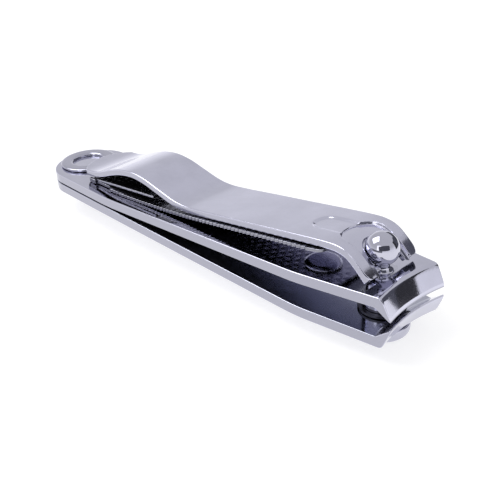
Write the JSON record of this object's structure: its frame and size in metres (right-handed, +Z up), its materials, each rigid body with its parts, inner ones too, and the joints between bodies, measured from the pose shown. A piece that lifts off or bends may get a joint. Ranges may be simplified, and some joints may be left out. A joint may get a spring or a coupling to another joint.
{
  "type": "nail clipper",
  "caption": "Lever nail clipper: two sprung leaves with hollow-ground jaws, ball-headed pin, wave-shaped folding lever, swing-out nail file and key-ring eyelet.",
  "frame": {"origin": "middle of the length and width, at the underside of the pin foot (lowest point)", "axes": "+X along the body towards the cutting jaws, +Y across the width, +Z up through the leaves towards the lever"},
  "size_m": [0.0792, 0.0154, 0.0149],
  "materials": {
    "plated_leaf": "polished nickel-chrome plate",
    "plated_lever": "polished nickel-chrome plate",
    "plated_pin": "polished nickel-chrome plate",
    "plated_rivet": "polished nickel-chrome plate",
    "file_steel": "plated, with cut teeth along both edges",
    "dark_steel": "dark steel"
  },
  "bodies": {
    "lower_body": {"lower_leaf": "plated_leaf", "eyelet": "plated_rivet", "pin_washer": "dark_steel"},
    "upper_jaw": {"upper_leaf": "plated_leaf"},
    "pin_body": {"pin": "plated_pin"},
    "lever_body": {"lever": "plated_lever", "file_rivet": "plated_rivet"},
    "file_body": {"file": "file_steel"}
  },
  "joints": [
    {"name": "jaw_flex", "type": "hinge", "parent": "lower_body", "child": "upper_jaw", "pos_m": [-0.034, 0, 0.0058], "axis": [0, 1, 0], "range_deg": [0, 0.72], "stiffness_Nm_per_rad": 100},
    {"name": "pin_swivel", "type": "hinge", "parent": "lower_body", "child": "pin_body", "pos_m": [0.0339, 0, 0.0058], "axis": [0, 0, 1], "continuous": true},
    {"name": "lever_lift", "type": "hinge", "parent": "pin_body", "child": "lever_body", "pos_m": [0.0339, 0, 0.0126], "axis": [0, 1, 0], "range_deg": [0, 160]},
    {"name": "file_swing", "type": "hinge", "parent": "lever_body", "child": "file_body", "pos_m": [0.0234, 0, 0.01332], "axis": [-0.1201, 0, 0.9928], "range_deg": [0, 90]}
  ]
}
